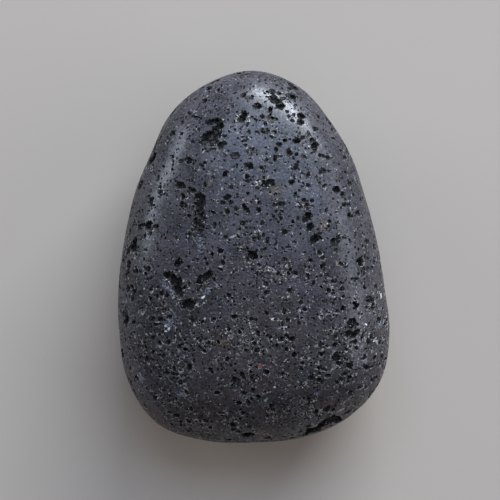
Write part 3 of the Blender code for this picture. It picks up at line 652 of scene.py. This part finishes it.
def makeGrainGroup():
    # grain that the polished skin and the open walls share: mottling, fine grain, bright crystals, pinholes
    # and the patches where the surface is broken
    make = TreeMaker(bpy.data.node_groups.new("basaltGrain", "ShaderNodeTree"))
    for name, value in skin["grain"].items():
        make.socket(name, "Float", value)
    given = make.add("NodeGroupInput").outputs
    place = make.add("ShaderNodeTexCoord").outputs["Object"]

    def scaleOf(size):
        return make.calc("DIVIDE", 1.0, given[size])

    fineScale = make.calc("MULTIPLY", scaleOf("Grain size"), grainBuild["fineness"])
    fine = make.noise(place, fineScale, 1.0)

    def dots(size, share, reach):
        cells = make.add("ShaderNodeTexVoronoi", {"Vector": place, "Scale": scaleOf(size)}).outputs
        chance = make.add("ShaderNodeSeparateColor", {"Color": cells["Color"]}).outputs
        chosen = make.calc("GREATER_THAN", chance["Red"], make.calc("SUBTRACT", 1.0, given[share]))
        radius = make.remap(chance["Green"], 0.0, 1.0, reach / 2, reach)
        ragged = make.calc("MULTIPLY_ADD", fine, grainBuild["dotRaggedness"], cells["Distance"])
        distance = make.calc("SUBTRACT", ragged, grainBuild["dotRaggedness"] / 2)
        soft = make.remap(distance, radius, 0.0, 0.0, grainBuild["dotHardness"])
        solid = make.add("ShaderNodeClamp", {"Value": soft}).outputs[0]
        return make.calc("MULTIPLY", chosen, solid)

    mottle = make.noise(place, scaleOf("Mottle size"), 3.0)
    grain = make.noise(place, scaleOf("Grain size"), 3.0, {"Roughness": 0.65})
    patches = make.noise(place, scaleOf("Break size"), 4.0, {"Roughness": 0.75, "Distortion": 0.6})
    lengthwise = make.add("ShaderNodeSeparateXYZ", {"Vector": place}).outputs["Y"]
    level = make.remap(lengthwise, *grainBuild["ends"], given["Breaks at broad end"], given["Breaks"])
    wear = make.add("ShaderNodeAttribute", attribute_name="wear").outputs["Fac"]
    start = make.calc("SUBTRACT", level, make.calc("MULTIPLY", wear, given["Breaks from wear"]))
    broken = make.remap(patches, start, make.calc("ADD", start, grainBuild["breakEdge"]))
    # mottling and grain together, stretched to the full range from dark to light
    both = make.calc("ADD", mottle, grain)
    tone = make.remap(make.calc("MULTIPLY_ADD", fine, grainBuild["fineShare"], both), *grainBuild["tones"])
    pinholes = dots("Pinhole size", "Pinhole share", grainBuild["pinholeReach"])
    crystals = dots("Crystal size", "Crystal share", grainBuild["crystalReach"])
    results = {"Tone": tone, "Grain": grain, "Fine": fine, "Crystals": crystals, "Pinholes": pinholes,
               "Broken": broken, "Relief": make.calc("SUBTRACT", grain, pinholes)}
    for name in results:
        make.socket(name, "Float", inOut="OUTPUT")
    make.add("NodeGroupOutput", results)
    return make.tree


skin = {
    "dark": (0.018, 0.0172, 0.0225, 1.0),
    "light": (0.074, 0.0715, 0.092, 1.0),
    "drift": (1.0, 0.86, 0.72, 1.0),
    "driftSize": 0.0045,
    "driftRange": (0.3, 0.52),
    # painted warm reflection of the floor: the tint is stronger towards the broad end
    "warmReflectionEnds": (-0.018, 0.010),  # full at the first place along the stone, and least at the second
    "warmReflectionLeast": 0.4,
    "brokenDark": (0.018, 0.018, 0.020, 1.0),
    "fleckRange": (0.42, 0.56),
    "crystal": (0.34, 0.33, 0.31, 1.0),
    # painted shade inside the pinholes
    "pinholeShade": (0.003, 0.003, 0.003, 1.0),
    "roughness": (0.5, 0.7),
    "specular": 0.15,
    "polishRoughness": 0.30,
    "polish": (0.24, 0.45),
    "polishRange": (0.38, 0.6),
    "polishBend": 2.0,
    "grain": {"Mottle size": 0.0022, "Grain size": 0.00035, "Crystal size": 0.00026, "Crystal share": 0.035,
              "Pinhole size": 0.00042, "Pinhole share": 0.3, "Break size": 0.00065, "Breaks": 0.65,
              "Breaks at broad end": 0.592, "Breaks from wear": 0.115},
    "bumpHeight": 0.00013,
}
wall = {
    "lipDepth": 0.00010,
    # painted shade: the near black the open walls are painted towards as they lie deeper, full from the first
    # depth to the second, easing to a share on a wide floor
    "deep": (0.002, 0.002, 0.002, 1.0),
    "paintedShadeFrom": 0.00008,
    "paintedShadeTo": 0.00040,
    "paintedShadeShare": 0.78,
    "floorFrom": 0.00100,
    "floorShadeShare": 0.3,
    "dark": (0.012, 0.0105, 0.0105, 1.0),
    "light": (0.13, 0.122, 0.12, 1.0),
    "crystal": (0.44, 0.41, 0.375, 1.0),
    "roughness": (0.6, 0.95),
    "specular": 0.3,
    "grain": {"Mottle size": 0.0012, "Grain size": 0.00028, "Crystal size": 0.00026, "Crystal share": 0.2,
              "Pinhole size": 0.0003, "Pinhole share": 0.3, "Break size": 0.0012, "Breaks": 0.55,
              "Breaks at broad end": 0.44, "Breaks from wear": 0.0},
    "bumpHeight": 0.00024,
}
breaks = {
    "ash": (0.268, 0.262, 0.30, 1.0),
    "sand": (0.28, 0.235, 0.195, 1.0),
    "cream": (0.72, 0.67, 0.64, 1.0),
    "ashRange": (0.45, 0.65),
    "creamRange": (0.51, 0.64),
}


def startMaterial(name):
    material = bpy.data.materials.new(name)
    material.use_nodes = True
    return material, TreeMaker(material.node_tree), material.node_tree.nodes["Principled BSDF"]


def mixColors(make, factor, first, second, blend="MIX"):
    # sockets 6 and 7 of a Mix node are its two colours, and output 2 is the mixed one
    return make.add("ShaderNodeMix", {"Factor": factor, 6: first, 7: second}, data_type="RGBA",
                    blend_type=blend).outputs[2]


inclusionEdge = {"fade": (1.1, 0.7), "noiseScale": 4500.0, "gapScale": 3200.0, "gapRange": (0.44, 0.58)}
# grains of other minerals and crusts, and a few painted glints: x, y, length, width in millimetres, turn in
# degrees, strength
inclusionsAndGlints = {
    "rust": {"color": (0.30, 0.065, 0.03, 1.0), "raggedness": 1.0, "speckle": 0.3, "places": (
        (0.85, -14.35, 0.62, 0.5, 20, 0.9), (1.55, -16.8, 0.45, 0.4, 0, 0.8))},
    "ochre": {"color": (0.20, 0.13, 0.055, 1.0), "raggedness": 4.0, "speckle": 1.0, "places": (
        (-3.75, -11.3, 1.3, 0.7, -30, 0.9), (-6.2, 9.3, 1.2, 0.8, 20, 0.5),
        (9.0, 4.2, 1.6, 1.1, 60, 0.5), (3.0, 8.6, 2.6, 1.6, 40, 0.4))},
    "tan": {"color": (0.26, 0.19, 0.15, 1.0), "raggedness": 3.0, "speckle": 1.0, "places": (
        (-5.2, -13.8, 1.1, 0.8, 0, 0.8), (11.2, -0.9, 1.0, 0.7, 0, 0.6))},
    "feldsparAndGlints": {"color": (0.92, 0.92, 0.90, 1.0), "raggedness": 1.2, "speckle": 0.3, "places": (
        (2.45, -8.2, 0.42, 0.36, 0, 1.0), (-6.65, -5.35, 0.66, 0.34, 35, 1.0),
        (-11.6, -9.15, 0.4, 0.3, 0, 1.0), (-11.15, -9.5, 0.5, 0.32, 80, 1.0),
        (-11.6, -9.85, 0.45, 0.22, 0, 0.9), (2.7, -17.2, 0.3, 0.3, 0, 0.9),
        # painted highlights: these two white streaks on the right flank are painted glints
        (14.8, -9.0, 0.5, 0.25, -30, 1.0), (16.9, -5.2, 1.1, 0.24, 85, 1.0),
        # painted highlight: the last streak, along the upper edge of the fissure near the broad end, is a
        # painted lit ledge
        (-2.7, 2.6, 1.2, 0.3, 25, 0.3), (11.6, -20.4, 1.5, 0.28, 22, 0.6))},
    "crust": {"color": (0.27, 0.30, 0.36, 1.0), "raggedness": 4.0, "speckle": 1.0, "places": (
        (-11.4, -4.3, 2.4, 0.6, -48, 0.9), (-9.6, -18.1, 1.3, 0.9, 0, 0.9),
        (-1.0, -18.5, 1.3, 0.6, -10, 0.9), (-14.9, -16.2, 1.1, 0.7, 60, 0.8),
        (-12.6, -18.6, 1.0, 0.5, 10, 0.8), (-4.9, -13.3, 1.0, 0.6, 20, 0.7),
        (8.3, -18.1, 1.0, 0.8, 0, 0.9), (16.6, -9.0, 1.3, 0.6, 80, 0.8), (-10.9, -8.7, 2.4, 1.5, 30, 0.6),
        (-6.0, -4.3, 1.3, 0.6, 40, 0.9), (-6.9, 1.4, 1.7, 0.9, 90, 0.7), (-7.2, 3.2, 2.4, 0.8, 90, 0.4))},
    "olivine": {"color": (0.03, 0.10, 0.11, 1.0), "raggedness": 1.0, "speckle": 0.0, "places": (
        (-11.0, 4.05, 0.5, 0.4, 0, 0.8),)},
}


def makeInclusionGroup():
    # one grain of another mineral, or a painted glint: a lump with a ragged edge, laid over the colour below
    # it
    make = TreeMaker(bpy.data.node_groups.new("mineralInclusion", "ShaderNodeTree"))
    for name in ("Below", "Color"):
        make.socket(name, "Color")
    for name in ("Middle", "Half size", "Turn"):
        make.socket(name, "Vector")
    for name, value in (("Raggedness", 0.5), ("Strength", 1.0), ("Speckle", 0.0)):
        make.socket(name, "Float", value)
    make.socket("Color", "Color", inOut="OUTPUT")
    given = make.add("NodeGroupInput").outputs
    place = make.add("ShaderNodeTexCoord").outputs["Object"]
    lying = make.add("ShaderNodeMapping", {
        "Vector": place, "Location": given["Middle"], "Rotation": given["Turn"],
        "Scale": given["Half size"]}, vector_type="TEXTURE").outputs[0]
    reach = make.add("ShaderNodeVectorMath", {0: lying}, operation="LENGTH").outputs["Value"]
    ragged = make.noise(place, inclusionEdge["noiseScale"], 2.0)
    shift = make.calc("MULTIPLY", make.calc("SUBTRACT", ragged, 0.5), given["Raggedness"])
    edge = make.calc("ADD", reach, shift)
    mask = make.remap(edge, *inclusionEdge["fade"], 0.0, given["Strength"])
    gaps = make.noise(place, inclusionEdge["gapScale"], 3.0)
    speckled = make.remap(gaps, *inclusionEdge["gapRange"], make.calc("SUBTRACT", 1.0, given["Speckle"]))
    kept = make.calc("MULTIPLY", mask, speckled)
    make.add("NodeGroupOutput", {"Color": mixColors(make, kept, given["Below"], given["Color"])})
    return make.tree


def addInclusions(make, color, group, surface):
    for kind in inclusionsAndGlints.values():
        for x, y, length, width, turn, strength in kind["places"]:
            spot, _ = topAt(surface, x, y)
            color = make.add("ShaderNodeGroup", {
                "Below": color, "Color": kind["color"], "Middle": spot, "Turn": (0, 0, math.radians(turn)),
                "Half size": (length / 2 * mm, width / 2 * mm, width * mm), "Raggedness": kind["raggedness"],
                "Strength": strength, "Speckle": kind["speckle"]}, node_tree=group).outputs["Color"]
    return color


def paleBreak(make, grain):
    # fresh breaks are ash blue or sandy, and cream where the grain stands up
    raised = make.remap(grain["Fine"], *breaks["creamRange"])
    clouded = make.remap(grain["Tone"], *breaks["ashRange"])
    return mixColors(make, raised, mixColors(make, clouded, breaks["sand"], breaks["ash"]), breaks["cream"])


def linkFinish(make, shader, color, grain, finish):
    # what the polished skin and the open walls have in common
    low, high = finish["roughness"]
    roughness = make.remap(grain["Tone"], 0.0, 1.0, high, low)
    bump = make.add("ShaderNodeBump", {"Height": grain["Relief"], "Distance": finish["bumpHeight"]})
    make.feed(shader, {"Base Color": color, "Roughness": roughness, "Normal": bump.outputs["Normal"],
                       "Specular IOR Level": finish["specular"]})


def makeSkinMaterial(grainGroup, inclusionGroup, surface):
    material, make, shader = startMaterial("polishedBasalt")
    grain = make.add("ShaderNodeGroup", skin["grain"], node_tree=grainGroup).outputs
    color = mixColors(make, grain["Tone"], skin["dark"], skin["light"])
    # slow drift of the tint over the whole stone: partly the stone's own tone, and partly a painted warm
    # reflection that grows towards the broad end
    place = make.add("ShaderNodeTexCoord").outputs["Object"]
    drift = make.noise(place, 1 / skin["driftSize"], 3.0)
    lengthwise = make.add("ShaderNodeSeparateXYZ", {"Vector": place}).outputs["Y"]
    most = make.remap(lengthwise, *skin["warmReflectionEnds"], 1.0, skin["warmReflectionLeast"])
    tintAndWarmReflection = make.remap(drift, *skin["driftRange"], 0.0, most)
    color = mixColors(make, tintAndWarmReflection, color, skin["drift"], "MULTIPLY")
    flecks = make.remap(grain["Grain"], *skin["fleckRange"])
    brokenColor = mixColors(make, flecks, skin["brokenDark"], paleBreak(make, grain))
    color = mixColors(make, grain["Broken"], color, brokenColor)
    color = mixColors(make, grain["Crystals"], color, skin["crystal"])
    color = addInclusions(make, color, inclusionGroup, surface)
    # painted shade: pinholes are painted near black for the shade inside them
    color = mixColors(make, grain["Pinholes"], color, skin["pinholeShade"])
    linkFinish(make, shader, color, grain, skin)
    # the polish: a clear gloss that pinholes and broken patches have lost
    lost = make.calc("MAXIMUM", grain["Pinholes"], grain["Broken"])
    gloss = make.remap(grain["Grain"], *skin["polishRange"], *skin["polish"])
    polish = make.calc("MULTIPLY", make.calc("SUBTRACT", 1.0, lost), gloss)
    make.feed(shader, {"Coat Weight": polish, "Coat Roughness": skin["polishRoughness"],
                       "Coat IOR": skin["polishBend"]})
    return material


def makeWallMaterial(grainGroup, inclusionGroup, surface):
    material, make, shader = startMaterial("openBubble")
    grain = make.add("ShaderNodeGroup", wall["grain"], node_tree=grainGroup).outputs
    color = mixColors(make, grain["Tone"], wall["dark"], wall["light"])
    depth = make.add("ShaderNodeAttribute", attribute_name="depth").outputs["Fac"]
    # painted shade: the walls are painted darker the deeper they lie under the whole skin
    paintedShade = make.remap(depth, wall["paintedShadeFrom"], wall["paintedShadeTo"], 0.0, wall["paintedShadeShare"])
    # the painted shade eases off again on the floor of a wide bubble, as if the light reached it
    shadeEasedOnFloor = make.remap(depth, wall["paintedShadeTo"], wall["floorFrom"], 1.0, wall["floorShadeShare"])
    color = mixColors(make, make.calc("MULTIPLY", paintedShade, shadeEasedOnFloor), color, wall["deep"])
    color = mixColors(make, grain["Crystals"], color, wall["crystal"])
    lip = make.remap(depth, wall["lipDepth"], 0.0)
    color = mixColors(make, make.calc("MULTIPLY", lip, grain["Broken"]), color, paleBreak(make, grain))
    color = addInclusions(make, color, inclusionGroup, surface)
    linkFinish(make, shader, color, grain, wall)
    return material


def makeStone():
    body, surface = makeStoneBody()
    groups = makeGrainGroup(), makeInclusionGroup()
    wallMaterial = makeWallMaterial(*groups, surface)
    body.data.materials.append(makeSkinMaterial(*groups, surface))
    whole = bpy.data.objects.new("wholeStone", body.data)
    print("stone body", len(body.data.polygons), "faces")
    shapes = {name: makeBubbleShapes(name, wallMaterial) for name in bubbles["profiles"]}
    addTree(body, "marked", makeMarkedTree(), {
        "Marks": markBubbles(surface), "Seed": bubbles["seed"], "Wall material": wallMaterial, **shapes})
    strewTree = makeStrewTree()
    for name, values in strewn.items():
        addTree(body, name, strewTree, {
            **values, "Shapes": shapes[values["Shapes"]], "Wall material": wallMaterial})
    addTree(body, "walls", makeWallTree(), {
        "Whole stone": whole, "Noise": bubbles["wallNoise"] * mm,
        "Noise length": bubbles["wallNoiseLength"] * mm, "Faces of largest chip": bubbles["chipFaces"],
        "Wall material": wallMaterial})
    evaluated = body.evaluated_get(bpy.context.evaluated_depsgraph_get())
    cutMesh = bpy.data.meshes.new_from_object(evaluated)
    body.modifiers.clear()
    body.data = cutMesh
    print("bubbles cut,", len(cutMesh.polygons), "faces", [m.name for m in cutMesh.materials])
    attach(body, "root")
    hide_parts("lava_stone")


# the studio: a pale floor, a low window past the narrow end, soft light overhead and low walls at the sides
studio = {
    "floorSize": 6.0,
    "floorColor": (0.60, 0.52, 0.44, 1.0),
    "floorRoughness": 0.9,
    "worldColor": (0.97, 0.93, 0.95, 1.0),
    "worldStrength": 0.10,
    "lightDistance": 1.6,
}
# bearing clockwise from the narrow end and elevation in degrees, size in metres, power in watts
lights = {
    "window": {"bearing": 22, "elevation": 17, "size": (1.3, 0.24), "power": 38, "color": (0.83, 0.91, 1.0)},
    "sky": {"bearing": 12, "elevation": 50, "size": (1.9, 1.1), "power": 14, "color": (0.54, 0.71, 1.0)},
    "leftWall": {"bearing": -60, "elevation": 14, "size": (0.9, 0.3), "power": 7, "color": (0.78, 0.88, 1.0)},
    "rightWall": {"bearing": 90, "elevation": 21, "size": (1.7, 0.6), "power": 8, "color": (0.8, 0.88, 1.0)},
    "room": {"bearing": 185, "elevation": 62, "size": (1.3, 1.3), "power": 1.3, "color": (1.0, 0.90, 0.88)},
}


def makeFloor():
    half = studio["floorSize"] / 2
    corners = [(-half, -half, 0), (half, -half, 0), (half, half, 0), (-half, half, 0)]
    mesh = bpy.data.meshes.new("floor")
    mesh.from_pydata(corners, [], [(0, 1, 2, 3)])
    material, make, shader = startMaterial("paleFloor")
    make.feed(shader, {"Base Color": studio["floorColor"], "Roughness": studio["floorRoughness"]})
    mesh.materials.append(material)
    linkObject("floor", mesh)


def makeLights():
    world = bpy.data.worlds.new("studio")
    world.use_nodes = True
    TreeMaker(world.node_tree).feed(world.node_tree.nodes["Background"], {
        "Color": studio["worldColor"], "Strength": studio["worldStrength"]})
    scene.world = world
    for name, values in lights.items():
        lamp = bpy.data.lights.new(name, "AREA")
        lamp.shape = "RECTANGLE"
        lamp.size, lamp.size_y = values["size"]
        lamp.energy = values["power"]
        lamp.color = values["color"]
        holder = linkObject(name, lamp)
        bearing, elevation = math.radians(values["bearing"]), math.radians(values["elevation"])
        level = math.cos(elevation)
        away = Vector((math.sin(bearing) * level, math.cos(bearing) * level, math.sin(elevation)))
        holder.location = away * studio["lightDistance"]
        holder.rotation_euler = away.to_track_quat("Z", "Y").to_euler()


# the camera: its middle and its distance above the girdle in millimetres
camera = {"frameWidth": 67.1, "middle": (-0.52, 0.82), "distance": 400.0, "sensor": 36.0, "clipStart": 0.01}


def makeCamera():
    data = bpy.data.cameras.new("overhead")
    data.sensor_width = camera["sensor"]
    data.lens = camera["sensor"] * camera["distance"] / camera["frameWidth"]
    data.clip_start = camera["clipStart"]
    holder = linkObject("overhead", data)
    holder.location = Vector((*camera["middle"], girdle + camera["distance"])) * mm
    scene.camera = holder


makeStone()
makeFloor()
makeLights()
makeCamera()
scene.view_settings.view_transform = "Standard"
print("studio and camera set")
